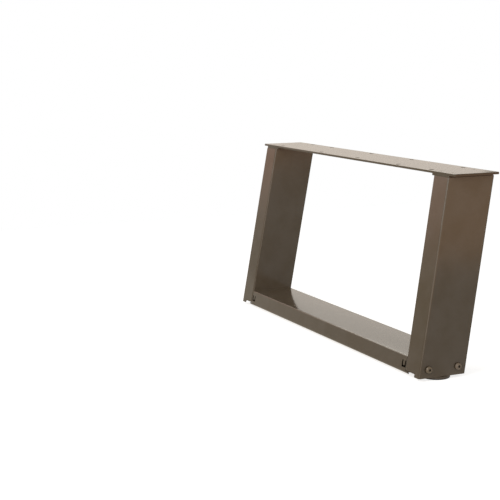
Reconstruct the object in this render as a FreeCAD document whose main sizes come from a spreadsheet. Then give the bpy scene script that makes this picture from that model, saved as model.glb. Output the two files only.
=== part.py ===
"""U shaped table leg: two leaning box legs, a top plate and a low bar, in millimetres.

The origin is the middle of the plate's top face, where the leg meets the table top.
X runs along the frame, Z points up, and the frame leans so that its feet lie towards -Y.
"""
import FreeCAD, Part
import math
import os

import Sketcher
from FreeCAD import Placement, Rotation, Vector

SIZES = {
    # whole leg
    "overall_height": 400.0,
    "lean_angle": 9.5,
    "splay_angle": 1.5,
    # top plate
    "plate_length": 840.0,
    "plate_depth": 102.0,
    "plate_thickness": 4.5,
    "plate_corner": 2.0,
    "plate_edge": 0.6,
    "plate_overhang": 18.0,
    "plate_hole": 10.0,
    "hole_row_inset": 11.0,
    "front_hole_one": -337.0,
    "front_hole_two": -137.0,
    "front_hole_three": 30.0,
    "front_hole_four": 198.0,
    "front_hole_five": 323.0,
    "back_hole_one": -333.0,
    "back_hole_two": -236.0,
    "back_hole_three": -48.0,
    "back_hole_four": 122.0,
    "back_hole_five": 314.0,
    "weld_mark": 8.0,
    "weld_mark_depth": 0.4,
    "weld_mark_spread": 40.0,
    "weld_mark_inset": 13.0,
    # leg tubes, measured in a level section
    "leg_width": 52.0,
    "leg_depth": 106.0,
    "leg_wall": 2.0,
    "leg_bend": 3.5,
    "notch_length": 34.0,
    "notch_height": 6.0,
    # flange between a tube and the plate
    "flange_thickness": 4.0,
    "flange_reach": 8.0,
    "flange_recess": 1.2,
    "flange_corner": 2.0,
    # bottom bar
    "bar_height": 34.0,
    "bar_setback": 1.0,
    "bar_wall": 2.0,
    "bar_bend": 2.5,
    "bar_lip": 51.5,
    "bar_end_gap": 0.2,
    "tongue_length": 8.5,
    "tongue_height": 4.5,
    "slit_width": 14.3,
    "slit_height": 13.8,
    "slit_cut": 4.0,
    "slit_rise": 10.0,
    "slit_setback": 9.0,
    # brackets in the ends of the bar
    "bracket_wall": 3.0,
    "bracket_tab": 28.0,
    "bracket_bend": 2.5,
    "bracket_gap": 0.1,
    "bracket_side_gap": 1.0,
    # button-head screws and what they clamp
    "screw_inset": 19.4,
    "screw_rise": 16.2,
    "screw_shift": 1.8,
    "screw_thread": 8.0,
    "screw_length": 65.0,
    "screw_tip": 0.8,
    "screw_hole": 9.0,
    "head_diameter": 14.0,
    "head_height": 4.4,
    "head_round": 3.4,
    "socket_flats": 5.0,
    "socket_depth": 2.8,
    "thread_gap": 0.1,
    "seat_gap": 0.1,
    "washer_diameter": 15.0,
    "washer_bore": 8.4,
    "washer_thickness": 1.6,
    "sleeve_diameter": 12.0,
    "sleeve_bore": 8.8,
    "nut_flats": 13.0,
    "nut_height": 6.5,
    # levelling feet
    "pad_diameter": 58.0,
    "pad_height": 6.0,
    "pad_gap": 0.2,
    "pad_top_edge": 1.0,
    "pad_sole_edge": 1.5,
    "stem_thread": 10.0,
    "stem_reach": 30.0,
    "stem_seat": 3.5,
    "stem_tip": 1.0,
    "collar_flats": 13.0,
    "collar_height": 4.0,
    "foot_plate_thickness": 3.0,
    "foot_plate_gap": 0.5,
    "foot_plate_fit": 0.2,
    "foot_plate_hole": 11.0,
    "foot_nut_flats": 17.0,
    "foot_nut_height": 8.0,
}

FRONT_HOLES = ["front_hole_one", "front_hole_two", "front_hole_three", "front_hole_four", "front_hole_five"]
BACK_HOLES = ["back_hole_one", "back_hole_two", "back_hole_three", "back_hole_four", "back_hole_five"]
SIDES = {"left": -1, "right": 1}

doc = FreeCAD.newDocument("u_table_leg")
sheet = doc.addObject("Spreadsheet::Sheet", "sizes")
for row, (alias, number) in enumerate(SIZES.items(), start=1):
    sheet.set(f"A{row}", alias)
    sheet.set(f"B{row}", str(number))
    sheet.setAlias(f"B{row}", alias)
doc.recompute()

# heights and places that several pieces share, as expressions on the sheet
LEG_FOOT = "(sizes.pad_height + sizes.pad_gap - sizes.overall_height)"
LEG_RISE = f"(0 - {LEG_FOOT} - sizes.plate_thickness - sizes.flange_thickness)"
INNER_SPAN = "(sizes.plate_length / 2 - sizes.plate_overhang - sizes.leg_width)"
BAR_ACROSS = "(sizes.leg_depth - 2 * sizes.bar_setback)"
HALF_LEG = "(sizes.leg_width / 2 * cos(sizes.splay_angle))"
SCREW_ROW = "(sizes.leg_depth / 2 - sizes.screw_inset)"
FOOT_PLATE_UP = "(sizes.notch_height + sizes.foot_plate_gap)"


def drop_out(up):
    """How far a leg has splayed out at a height above its lower end."""
    return f"(({LEG_RISE} - ({up})) * tan(sizes.splay_angle))"


def lean_back(up):
    """Where the leg's centre line lies in Y at a height above its lower end."""
    return f"(0 - ({LEG_RISE} - ({up})) * tan(sizes.lean_angle))"


def leg_centre(side, up):
    """Expressions for the point of a leg's centre line at a height above its lower end."""
    across = f"{side} * ({INNER_SPAN} + sizes.leg_width / 2 + {drop_out(up)})"
    return across, lean_back(up), f"{LEG_FOOT} + {up}"


def place(piece, across, back, up):
    piece.setExpression("Placement.Base.x", across)
    piece.setExpression("Placement.Base.y", back)
    piece.setExpression("Placement.Base.z", up)


def place_on_leg(piece, side, up="0"):
    place(piece, *leg_centre(side, up))


def place_on_foot_axis(piece, side, up):
    """A foot stands upright under the middle of its foot plate."""
    across, back, _ = leg_centre(side, FOOT_PLATE_UP)
    place(piece, across, back, f"{LEG_FOOT} + {up}")


def place_on_screw_axis(piece, side, row, along):
    """Put a piece's own Z on a screw axis, square to the leg's outer face."""
    across, _, up = leg_centre(side, "sizes.screw_rise")
    back = lean_back("0")
    piece.Placement = Placement(Vector(), Rotation(Vector(0, side, 0), 90.0))
    piece.setExpression("Placement.Rotation.Angle", "(90 - sizes.splay_angle) * 1 deg")
    place(
        piece,
        f"{across} + {side} * ({along}) * cos(sizes.splay_angle)",
        f"{back} + {row} * {SCREW_ROW} + sizes.screw_shift",
        f"{up} + ({along}) * sin(sizes.splay_angle)",
    )


def new_body(name):
    body = doc.addObject("PartDesign::Body", name)
    body.Label = name
    return body


def new_sketch(body, name, plane, lift=None):
    sketch = body.newObject("Sketcher::SketchObject", f"{body.Name}_{name}")
    planes = [feature for feature in body.Origin.OriginFeatures if feature.Role == plane]
    sketch.AttachmentSupport = (planes[0], "")
    sketch.MapMode = "FlatFace"
    if lift is not None:
        sketch.setExpression("AttachmentOffset.Base.z", lift)
    return sketch


def bind(sketch, constraint, name, expression):
    """Add a constraint and tie its value to an expression."""
    index = sketch.addConstraint(constraint)
    sketch.renameConstraint(index, name)
    sketch.setExpression(f"Constraints.{name}", expression)


def add_circle(sketch, name, diameter, across="0", back="0"):
    size = sheet.evalExpression(diameter)
    centre = Vector(sheet.evalExpression(across), sheet.evalExpression(back), 0)
    ring = sketch.addGeometry(Part.Circle(centre, Vector(0, 0, 1), size / 2), False)
    bind(sketch, Sketcher.Constraint("Diameter", ring, size), f"{name}_size", diameter)
    bind(sketch, Sketcher.Constraint("DistanceX", -1, 1, ring, 3, centre.x), f"{name}_x", across)
    bind(sketch, Sketcher.Constraint("DistanceY", -1, 1, ring, 3, centre.y), f"{name}_y", back)


def add_outline(sketch, name, corners):
    """A closed outline of straight lines through corners given as pairs of expressions."""
    points = [Vector(sheet.evalExpression(x), sheet.evalExpression(y), 0) for x, y in corners]
    lines = []
    for start, end in zip(points, points[1:] + points[:1]):
        lines.append(sketch.addGeometry(Part.LineSegment(start, end), False))
    for line, following in zip(lines, lines[1:] + lines[:1]):
        sketch.addConstraint(Sketcher.Constraint("Coincident", line, 2, following, 1))
    for index, (line, (x, y)) in enumerate(zip(lines, corners)):
        point = points[index]
        bind(sketch, Sketcher.Constraint("DistanceX", -1, 1, line, 1, point.x), f"{name}_x{index}", x)
        bind(sketch, Sketcher.Constraint("DistanceY", -1, 1, line, 1, point.y), f"{name}_y{index}", y)


def add_rectangle(sketch, name, low_x, high_x, low_y, high_y):
    add_outline(sketch, name, [(low_x, low_y), (high_x, low_y), (high_x, high_y), (low_x, high_y)])


def add_hexagon(sketch, name, flats):
    corners = []
    for step in range(6):
        turn = 60 * step + 30
        corners.append((f"{flats} / sqrt(3) * cos({turn})", f"{flats} / sqrt(3) * sin({turn})"))
    add_outline(sketch, name, corners)


def add_rounded(sketch, name, across, up, corner, lean="0"):
    """A rounded outline centred on the sketch, whose sides lean by an angle in degrees."""
    width = sheet.evalExpression(across)
    height = sheet.evalExpression(up)
    radius = sheet.evalExpression(corner)
    slope = math.tan(math.radians(sheet.evalExpression(lean)))
    low = Vector(-height / 2 * slope, -height / 2, 0)
    half = Vector(width / 2, 0, 0)
    corners = [low + half, half - low, Vector() - low - half, low - half]
    touches = []
    for index, point in enumerate(corners):
        before = (corners[index - 1] - point).normalize()
        after = (corners[(index + 1) % 4] - point).normalize()
        half_turn = before.getAngle(after) / 2
        reach = radius / math.tan(half_turn)
        middle = point + (before + after).normalize() * (radius / math.sin(half_turn) - radius)
        touches.append((point + before * reach, middle, point + after * reach))
    sides = []
    bends = []
    for index in range(4):
        sides.append(sketch.addGeometry(Part.LineSegment(touches[index - 1][2], touches[index][0]), False))
        bends.append(sketch.addGeometry(Part.Arc(*touches[index]), False))
    for index in range(4):
        sketch.addConstraint(Sketcher.Constraint("Tangent", sides[index], 2, bends[index], 1))
        sketch.addConstraint(Sketcher.Constraint("Tangent", bends[index], 2, sides[(index + 1) % 4], 1))
    bottom, right, top, left = sides
    sketch.addConstraint(Sketcher.Constraint("Horizontal", bottom))
    sketch.addConstraint(Sketcher.Constraint("Horizontal", top))
    for bend in bends[1:]:
        sketch.addConstraint(Sketcher.Constraint("Equal", bends[0], bend))
    steep = math.atan2(1.0, slope)
    bind(sketch, Sketcher.Constraint("Angle", right, steep), f"{name}_lean", f"(90 - {lean}) * 1 deg")
    sketch.addConstraint(Sketcher.Constraint("Parallel", right, left))
    bind(sketch, Sketcher.Constraint("Radius", bends[0], radius), f"{name}_bend", corner)
    square_width = width * math.sin(steep)
    bind(
        sketch,
        Sketcher.Constraint("Distance", left, 1, right, square_width),
        f"{name}_across",
        f"({across}) * cos({lean})",
    )
    bind(sketch, Sketcher.Constraint("DistanceY", bottom, 1, top, 1, height), f"{name}_up", up)
    sketch.addConstraint(Sketcher.Constraint("Symmetric", bends[0], 3, bends[2], 3, -1, 1))


def pad(body, sketch, length, slant=None, down=False, both=False):
    """Pad a sketch by a length; slant is a pair of expressions for the drift in X and Y per unit up."""
    feature = body.newObject("PartDesign::Pad", f"{sketch.Name}_pad")
    feature.Profile = sketch
    feature.setExpression("Length", length)
    feature.Reversed = down
    if both:
        feature.SideType = "Symmetric"
    if slant is not None:
        feature.UseCustomVector = True
        feature.AlongSketchNormal = True
        feature.setExpression("Direction.x", slant[0])
        feature.setExpression("Direction.y", slant[1])
        feature.setExpression("Direction.z", "1")
    body.Tip = feature
    return feature


def pocket(body, sketch, length=None):
    """Cut a sketch by a length below its plane, or right through both ways with no length."""
    feature = body.newObject("PartDesign::Pocket", f"{sketch.Name}_cut")
    feature.Profile = sketch
    if length is None:
        feature.Type = "ThroughAll"
        feature.SideType = "Symmetric"
    else:
        feature.setExpression("Length", length)
    body.Tip = feature
    return feature


def soften(body, kind, size, wanted):
    """Fillet or chamfer the edges of a body's tip that pass a test on their middle point and curve."""
    doc.recompute()
    base = body.Tip
    names = []
    for number, edge in enumerate(base.Shape.Edges, start=1):
        if wanted(edge):
            names.append(f"Edge{number}")
    feature = body.newObject(f"PartDesign::{kind}", f"{base.Name}_{kind.lower()}")
    feature.Base = (base, names)
    feature.setExpression("Radius" if kind == "Fillet" else "Size", size)
    body.Tip = feature
    return feature


def level_edge(height):
    """A test for edges that lie level at a height."""
    def test(edge):
        box = edge.BoundBox
        return abs(box.ZMin - height) < 1e-6 and abs(box.ZMax - height) < 1e-6
    return test


def leg_slant(side):
    return f"{-side} * tan(sizes.splay_angle)", "tan(sizes.lean_angle)"


def group(name, pieces):
    """Like fasteners share one node as separate solids."""
    compound = doc.addObject("Part::Compound", name)
    compound.Label = name
    compound.Links = pieces
    return compound


def make_top_plate():
    body = new_body("top_plate")
    outline = new_sketch(body, "outline", "XY_Plane")
    add_rounded(outline, "plate", "sizes.plate_length", "sizes.plate_depth", "sizes.plate_corner")
    pad(body, outline, "sizes.plate_thickness", down=True)
    soften(body, "Fillet", "sizes.plate_edge", level_edge(0.0))
    holes = new_sketch(body, "holes", "XY_Plane")
    row_place = "(sizes.plate_depth / 2 - sizes.hole_row_inset)"
    for alias in FRONT_HOLES:
        add_circle(holes, alias, "sizes.plate_hole", f"sizes.{alias}", f"0 - {row_place}")
    for alias in BACK_HOLES:
        add_circle(holes, alias, "sizes.plate_hole", f"sizes.{alias}", row_place)
    pocket(body, holes)
    marks = new_sketch(body, "weld_marks", "XY_Plane")
    for side in SIDES.values():
        for end in (-1, 1):
            for row in (-1, 1):
                across, _, _ = leg_centre(side, LEG_RISE)
                add_circle(
                    marks,
                    f"mark_{side + 1}{end + 1}{row + 1}",
                    "sizes.weld_mark",
                    f"{across} + {end} * sizes.weld_mark_spread / 2",
                    f"{row} * (sizes.plate_depth / 2 - sizes.weld_mark_inset)",
                )
    pocket(body, marks, "sizes.weld_mark_depth")
    return body


def make_leg_tube(label, side):
    body = new_body(f"{label}_leg_tube")
    place_on_leg(body, side)
    section = new_sketch(body, "section", "XY_Plane")
    add_rounded(section, "outer", "sizes.leg_width", "sizes.leg_depth", "sizes.leg_bend")
    add_rounded(
        section,
        "inner",
        "sizes.leg_width - 2 * sizes.leg_wall",
        "sizes.leg_depth - 2 * sizes.leg_wall",
        "sizes.leg_bend - sizes.leg_wall",
    )
    pad(body, section, LEG_RISE, slant=leg_slant(side))
    notch = new_sketch(body, "notch", "XZ_Plane")
    add_rectangle(
        notch,
        "notch",
        f"{-side} * (sizes.leg_width / 2 + sizes.leg_wall)",
        f"{-side} * (sizes.leg_width / 2 - sizes.notch_length)",
        "0 - sizes.leg_wall",
        "sizes.notch_height",
    )
    pocket(body, notch)
    cut_screw_holes(body, side)
    return body


def cut_screw_holes(body, side):
    """Two holes on the screw axes through a piece that is placed on the foot of a leg."""
    holes = new_sketch(body, "screw_holes", "YZ_Plane")
    holes.AttachmentOffset = Placement(Vector(), Rotation(Vector(-side, 0, 0), 1.0))
    holes.setExpression("AttachmentOffset.Rotation.Angle", "sizes.splay_angle * 1 deg")
    for row in (-1, 1):
        across = f"{row} * {SCREW_ROW} + sizes.screw_shift"
        up = "sizes.screw_rise / cos(sizes.splay_angle)"
        add_circle(holes, f"hole_{row + 1}", "sizes.screw_hole", across, up)
    pocket(body, holes)


def make_leg_flange(label, side):
    """A plate that stands out only on the leg's inner side, and is set back on the other three."""
    body = new_body(f"{label}_leg_flange")
    across, back, up = leg_centre(side, LEG_RISE)
    inwards = "(sizes.flange_reach + sizes.flange_recess) / 2"
    place(body, f"{across} - {side} * {inwards}", back, up)
    outline = new_sketch(body, "outline", "XY_Plane")
    add_rounded(
        outline,
        "flange",
        "sizes.leg_width + sizes.flange_reach - sizes.flange_recess",
        "sizes.leg_depth - 2 * sizes.flange_recess",
        "sizes.flange_corner",
    )
    pad(body, outline, "sizes.flange_thickness")
    return body


def make_bottom_bar():
    body = new_body("bottom_bar")
    middle = "sizes.bar_height / 2"
    place(body, "0", lean_back(middle), f"{LEG_FOOT} + {middle}")
    section = new_sketch(body, "section", "YZ_Plane")
    add_rounded(section, "outer", BAR_ACROSS, "sizes.bar_height", "sizes.bar_bend", "sizes.lean_angle")
    add_rounded(
        section,
        "inner",
        f"{BAR_ACROSS} - 2 * sizes.bar_wall / cos(sizes.lean_angle)",
        "sizes.bar_height - 2 * sizes.bar_wall",
        "sizes.bar_bend - sizes.bar_wall",
        "sizes.lean_angle",
    )
    reach = f"({INNER_SPAN} + {drop_out('0')} + sizes.tongue_length)"
    pad(body, section, f"2 * {reach}", both=True)
    mouth = new_sketch(body, "mouth", "XY_Plane")
    shift = f"{middle} * tan(sizes.lean_angle)"
    half_mouth = f"({BAR_ACROSS} / 2 - sizes.bar_lip)"
    far = f"({reach} + sizes.bar_wall)"
    # the lips nearly meet under the bar and stop at the legs, where the walls alone run on as tongues
    lip_end = f"({INNER_SPAN} + {drop_out('0')} - sizes.bar_end_gap)"
    wide = f"({BAR_ACROSS} / 2 - sizes.bar_bend - sizes.tongue_height * tan(sizes.lean_angle))"
    half_corners = [(far, wide), (lip_end, wide), (lip_end, half_mouth)]
    mouth_corners = [(f"{x}", f"{y} - {shift}") for x, y in half_corners]
    mouth_corners += [(f"0 - {x}", f"{y} - {shift}") for x, y in reversed(half_corners)]
    mouth_corners += [(f"0 - {x}", f"0 - {y} - {shift}") for x, y in half_corners]
    mouth_corners += [(f"{x}", f"0 - {y} - {shift}") for x, y in reversed(half_corners)]
    add_outline(mouth, "mouth", mouth_corners)
    pocket(body, mouth, "sizes.bar_height")
    ends = new_sketch(body, "ends", "XZ_Plane")
    slits = new_sketch(body, "slits", "XZ_Plane")
    step = f"(sizes.tongue_height - {middle})"
    above = f"({middle} + sizes.bar_wall)"
    for label, side in SIDES.items():
        at_step = f"({INNER_SPAN} + {drop_out('sizes.tongue_height')} - sizes.bar_end_gap)"
        at_top = f"({INNER_SPAN} + {drop_out('sizes.bar_height + sizes.bar_wall')} - sizes.bar_end_gap)"
        corners = [
            (f"{side} * {at_step}", step),
            (f"{side} * {far}", step),
            (f"{side} * {far}", above),
            (f"{side} * {at_top}", above),
        ]
        add_outline(ends, label, corners)
        add_slit(slits, label, side, middle)
    pocket(body, ends)
    pocket(body, slits)
    return body


def add_slit(sketch, label, side, middle):
    """A U shaped slit, open end up, near an end of the bar."""
    centre = f"({INNER_SPAN} + {drop_out('sizes.slit_rise')} - sizes.slit_setback)"
    low = f"(sizes.slit_rise - {middle})"
    outer = "sizes.slit_width / 2"
    inner = "(sizes.slit_width / 2 - sizes.slit_cut)"
    top = f"{low} + sizes.slit_height"
    floor = f"{low} + sizes.slit_cut"
    corners = [
        (f"{side} * {centre} - {outer}", low),
        (f"{side} * {centre} + {outer}", low),
        (f"{side} * {centre} + {outer}", top),
        (f"{side} * {centre} + {inner}", top),
        (f"{side} * {centre} + {inner}", floor),
        (f"{side} * {centre} - {inner}", floor),
        (f"{side} * {centre} - {inner}", top),
        (f"{side} * {centre} - {outer}", top),
    ]
    add_outline(sketch, f"{label}_slit", corners)


def make_bar_bracket(label, side):
    """A folded plate under the bar's web, with its end plate against the leg."""
    body = new_body(f"{label}_bar_bracket")
    place_on_leg(body, side)
    section = new_sketch(body, "section", "XZ_Plane")
    top = "(sizes.bar_height - sizes.bar_wall - sizes.bracket_gap)"
    under = f"({top} - sizes.bracket_wall)"
    low = "(sizes.bar_wall + sizes.bracket_side_gap)"

    def face(up, inwards):
        return f"{-side} * (sizes.leg_width / 2 + {up} * tan(sizes.splay_angle) + sizes.bracket_gap + {inwards})"

    corners = [
        (face(low, "0"), low),
        (face(top, "0"), top),
        (face(top, "sizes.bracket_tab"), top),
        (face(top, "sizes.bracket_tab"), under),
        (face(under, "sizes.bracket_wall"), under),
        (face(low, "sizes.bracket_wall"), low),
    ]
    add_outline(section, "fold", corners)
    depth = f"({BAR_ACROSS} - 2 * sizes.bar_bend - sizes.bar_height * tan(sizes.lean_angle)"
    depth += " - 2 * sizes.bracket_side_gap)"
    pad(body, section, depth, both=True)
    section.setExpression("AttachmentOffset.Base.z", "0 - sizes.bar_height / 2 * tan(sizes.lean_angle)")
    bend_top = sheet.evalExpression(top)
    bend_x = sheet.evalExpression(face(top, "0"))

    def outer_bend(edge):
        box = edge.BoundBox
        at_bend = abs(box.ZMin - bend_top) < 1e-6 and abs(box.ZMax - bend_top) < 1e-6
        return at_bend and abs(box.XMin - bend_x) < 1e-6 and abs(box.XMax - bend_x) < 1e-6

    soften(body, "Fillet", "sizes.bracket_bend", outer_bend)
    cut_screw_holes(body, side)
    return body


def make_screw(name, side, row):
    """A button-head socket screw: shank down its own -Z, domed head up its +Z."""
    body = new_body(name)
    place_on_screw_axis(body, side, row, f"{HALF_LEG} + sizes.washer_thickness + 2 * sizes.seat_gap")
    profile = new_sketch(body, "profile", "XZ_Plane")
    radius = "sizes.screw_thread / 2"
    length = "sizes.screw_length"
    corners = [
        ("0", f"0 - {length}"),
        (f"{radius} - sizes.screw_tip", f"0 - {length}"),
        (radius, f"sizes.screw_tip - {length}"),
        (radius, "0"),
        ("sizes.head_diameter / 2", "0"),
        ("sizes.head_diameter / 2", "sizes.head_height"),
        ("0", "sizes.head_height"),
    ]
    add_outline(profile, "turned", corners)
    turned = body.newObject("PartDesign::Revolution", f"{name}_turned")
    turned.Profile = profile
    turned.ReferenceAxis = (profile, ["V_Axis"])
    turned.Angle = 360.0
    body.Tip = turned
    soften(body, "Fillet", "sizes.head_round", level_edge(sheet.evalExpression("sizes.head_height")))
    socket = new_sketch(body, "socket", "XY_Plane", "sizes.head_height")
    add_hexagon(socket, "hex", "sizes.socket_flats")
    pocket(body, socket, "sizes.socket_depth")
    return body


def make_ring(name, outer, bore, length, hexagonal=False):
    """A washer, sleeve or nut that stands on its own XY plane."""
    body = new_body(name)
    section = new_sketch(body, "section", "XY_Plane")
    if hexagonal:
        add_hexagon(section, "outer", outer)
    else:
        add_circle(section, "outer", outer)
    add_circle(section, "bore", bore)
    pad(body, section, length)
    return body


def make_screw_sets():
    """Screws, washers, sleeves and weld nuts of both legs, two rows on each."""
    screws = []
    washers = []
    sleeves = []
    nuts = []
    for label, side in SIDES.items():
        for row_name, row in (("front", -1), ("back", 1)):
            tag = f"{label}_{row_name}"
            screws.append(make_screw(f"{tag}_screw", side, row))
            washer = make_ring(f"{tag}_washer", "sizes.washer_diameter", "sizes.washer_bore", "sizes.washer_thickness")
            place_on_screw_axis(washer, side, row, f"{HALF_LEG} + sizes.seat_gap")
            washers.append(washer)
            half_sleeve = f"({HALF_LEG} - sizes.leg_wall * cos(sizes.splay_angle) - sizes.seat_gap)"
            sleeve = make_ring(f"{tag}_sleeve", "sizes.sleeve_diameter", "sizes.sleeve_bore", f"2 * {half_sleeve}")
            place_on_screw_axis(sleeve, side, row, f"0 - {half_sleeve}")
            sleeves.append(sleeve)
            bore = "sizes.screw_thread + 2 * sizes.thread_gap"
            nut = make_ring(f"{tag}_nut", "sizes.nut_flats", bore, "sizes.nut_height", hexagonal=True)
            inner = "(sizes.bracket_gap + sizes.bracket_wall) * cos(sizes.splay_angle)"
            place_on_screw_axis(
                nut, side, row, f"0 - {HALF_LEG} - {inner} - sizes.seat_gap - sizes.nut_height"
            )
            nuts.append(nut)
    return [
        group("button_screws", screws),
        group("screw_washers", washers),
        group("spacer_sleeves", sleeves),
        group("weld_nuts", nuts),
    ]


def make_foot_plate(label, side):
    body = new_body(f"{label}_foot_plate")
    place_on_leg(body, side, FOOT_PLATE_UP)
    outline = new_sketch(body, "outline", "XY_Plane")
    add_rounded(
        outline,
        "plate",
        "sizes.leg_width - 2 * (sizes.leg_wall + sizes.foot_plate_fit)",
        "sizes.leg_depth - 2 * (sizes.leg_wall + sizes.foot_plate_fit)",
        "sizes.leg_bend - sizes.leg_wall",
    )
    pad(body, outline, "sizes.foot_plate_thickness", slant=leg_slant(side))
    hole = new_sketch(body, "stem_hole", "XY_Plane")
    add_circle(hole, "stem_hole", "sizes.foot_plate_hole")
    pocket(body, hole)
    return body


def make_foot_nut(label, side):
    bore = "sizes.stem_thread + 2 * sizes.thread_gap"
    body = make_ring(f"{label}_foot_nut", "sizes.foot_nut_flats", bore, "sizes.foot_nut_height", hexagonal=True)
    place_on_foot_axis(body, side, f"{FOOT_PLATE_UP} + sizes.foot_plate_thickness + sizes.seat_gap")
    return body


def make_foot_stem(label, side):
    body = new_body(f"{label}_foot_stem")
    place_on_foot_axis(body, side, "(0 - sizes.pad_gap)")
    shank = new_sketch(body, "shank", "XY_Plane", "0 - sizes.stem_seat")
    add_circle(shank, "shank", "sizes.stem_thread")
    pad(body, shank, "sizes.stem_seat + sizes.stem_reach")
    soften(body, "Chamfer", "sizes.stem_tip", level_edge(sheet.evalExpression("sizes.stem_reach")))
    collar = new_sketch(body, "collar", "XY_Plane", "sizes.seat_gap")
    add_hexagon(collar, "collar", "sizes.collar_flats")
    pad(body, collar, "sizes.collar_height")
    return body


def make_foot_pad(label, side):
    body = new_body(f"{label}_foot_pad")
    place_on_foot_axis(body, side, "(0 - sizes.pad_gap)")
    disc = new_sketch(body, "disc", "XY_Plane")
    add_circle(disc, "disc", "sizes.pad_diameter")
    pad(body, disc, "sizes.pad_height", down=True)
    soften(body, "Fillet", "sizes.pad_top_edge", level_edge(0.0))
    soften(body, "Fillet", "sizes.pad_sole_edge", level_edge(-sheet.evalExpression("sizes.pad_height")))
    socket = new_sketch(body, "stem_socket", "XY_Plane")
    add_circle(socket, "stem_socket", "sizes.stem_thread + 2 * sizes.thread_gap")
    pocket(body, socket, "sizes.stem_seat + sizes.seat_gap")
    return body


def make_all():
    pieces = [make_top_plate(), make_bottom_bar()]
    for label, side in SIDES.items():
        pieces.append(make_leg_tube(label, side))
        pieces.append(make_leg_flange(label, side))
        pieces.append(make_bar_bracket(label, side))
        pieces.append(make_foot_plate(label, side))
        pieces.append(make_foot_nut(label, side))
        pieces.append(make_foot_stem(label, side))
        pieces.append(make_foot_pad(label, side))
    return pieces + make_screw_sets()


def check_and_write(pieces):
    doc.recompute()
    for item in doc.Objects:
        if "Invalid" in item.State or "Error" in item.State:
            raise RuntimeError(f"{item.Name} failed: {item.State}")
    for piece in pieces:
        if piece.Shape.isNull() or not piece.Shape.isValid():
            raise RuntimeError(f"{piece.Label} has no valid shape")
    os.makedirs("parts", exist_ok=True)
    for piece in pieces:
        piece.Shape.exportStep(f"parts/{piece.Label}.step")
        box = piece.Shape.BoundBox
        print(f"{piece.Label}: {len(piece.Shape.Solids)} solids, {piece.Shape.Volume:.0f} mm3,"
              f" x {box.XMin:.2f}..{box.XMax:.2f}, y {box.YMin:.2f}..{box.YMax:.2f}, z {box.ZMin:.2f}..{box.ZMax:.2f}")


check_and_write(make_all())
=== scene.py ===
"""Finishes and studio for a leaning u shaped steel table leg, laid out as a Blender add-on."""

import math

import bmesh
import bpy
from bpy.props import FloatProperty, FloatVectorProperty, PointerProperty, StringProperty
from mathutils import Matrix, Vector


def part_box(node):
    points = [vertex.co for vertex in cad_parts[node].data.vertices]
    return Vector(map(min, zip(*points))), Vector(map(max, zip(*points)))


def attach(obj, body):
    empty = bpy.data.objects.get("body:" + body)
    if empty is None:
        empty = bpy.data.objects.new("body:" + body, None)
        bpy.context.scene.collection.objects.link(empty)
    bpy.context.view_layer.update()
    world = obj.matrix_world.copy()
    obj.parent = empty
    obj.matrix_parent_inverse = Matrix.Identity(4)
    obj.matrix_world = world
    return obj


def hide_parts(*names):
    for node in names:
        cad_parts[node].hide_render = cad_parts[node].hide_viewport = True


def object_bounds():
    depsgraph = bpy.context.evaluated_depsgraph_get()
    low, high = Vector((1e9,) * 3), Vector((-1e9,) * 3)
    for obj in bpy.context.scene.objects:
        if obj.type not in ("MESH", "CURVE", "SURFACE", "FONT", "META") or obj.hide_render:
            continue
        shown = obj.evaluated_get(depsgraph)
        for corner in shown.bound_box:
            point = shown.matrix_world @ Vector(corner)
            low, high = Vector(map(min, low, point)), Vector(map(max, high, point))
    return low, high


bl_info = {
    "name": "U Shaped Table Leg Finishes",
    "version": (1, 0, 0),
    "blender": (4, 5, 0),
    "location": "View3D > Sidebar > Table Leg",
    "description": "Coats the packed table leg, cuts its stud threads and sets the studio",
    "category": "Object",
}

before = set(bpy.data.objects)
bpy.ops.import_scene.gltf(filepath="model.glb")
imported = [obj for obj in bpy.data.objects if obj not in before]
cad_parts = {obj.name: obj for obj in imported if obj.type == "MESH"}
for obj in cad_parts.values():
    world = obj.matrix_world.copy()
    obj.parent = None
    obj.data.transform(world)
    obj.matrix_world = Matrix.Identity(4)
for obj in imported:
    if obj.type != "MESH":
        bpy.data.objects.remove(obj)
CAD_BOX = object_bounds()
FLOOR_LEVEL = CAD_BOX[0].z

LEG_NODES = ["left_leg_tube", "right_leg_tube"]
RECESSED_NODES = [
    "left_leg_flange",
    "right_leg_flange",
    "left_bar_bracket",
    "right_bar_bracket",
    "left_foot_plate",
    "right_foot_plate",
]
ZINC_NODES = ["spacer_sleeves", "weld_nuts", "left_foot_nut", "right_foot_nut"]
FEET = {"left_foot": "left", "right_foot": "right"}
MM = 0.001
WHITE = (1.0, 1.0, 1.0, 1.0)


def linear(hex_colour):
    """Turns an sRGB hex colour into the linear values that shaders use."""
    values = []
    for start in (0, 2, 4):
        level = int(hex_colour[start:start + 2], 16) / 255
        values.append(level / 12.92 if level <= 0.04045 else ((level + 0.055) / 1.055) ** 2.4)
    return (*values, 1.0)


def add_node(tree, kind, settings=None, links=None):
    """Adds a node, sets its properties and socket values, and links its inputs."""
    node = tree.nodes.new(kind)
    for name, value in (settings or {}).items():
        if isinstance(name, int) or name in node.inputs:
            node.inputs[name].default_value = value
        else:
            setattr(node, name, value)
    for name, source in (links or {}).items():
        tree.links.new(source, node.inputs[name])
    return node


def new_material(name):
    """A material with a Principled shader wired to its output."""
    material = bpy.data.materials.new(name)
    material.use_nodes = True
    tree = material.node_tree
    tree.nodes.clear()
    shader = add_node(tree, "ShaderNodeBsdfPrincipled")
    add_node(tree, "ShaderNodeOutputMaterial", links={"Surface": shader.outputs["BSDF"]})
    return material, tree, shader


def object_place(tree):
    """The place of a shaded point on its piece, as its X, Y and Z."""
    place = add_node(tree, "ShaderNodeTexCoord")
    return add_node(tree, "ShaderNodeSeparateXYZ", links={0: place.outputs["Object"]}).outputs


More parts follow.
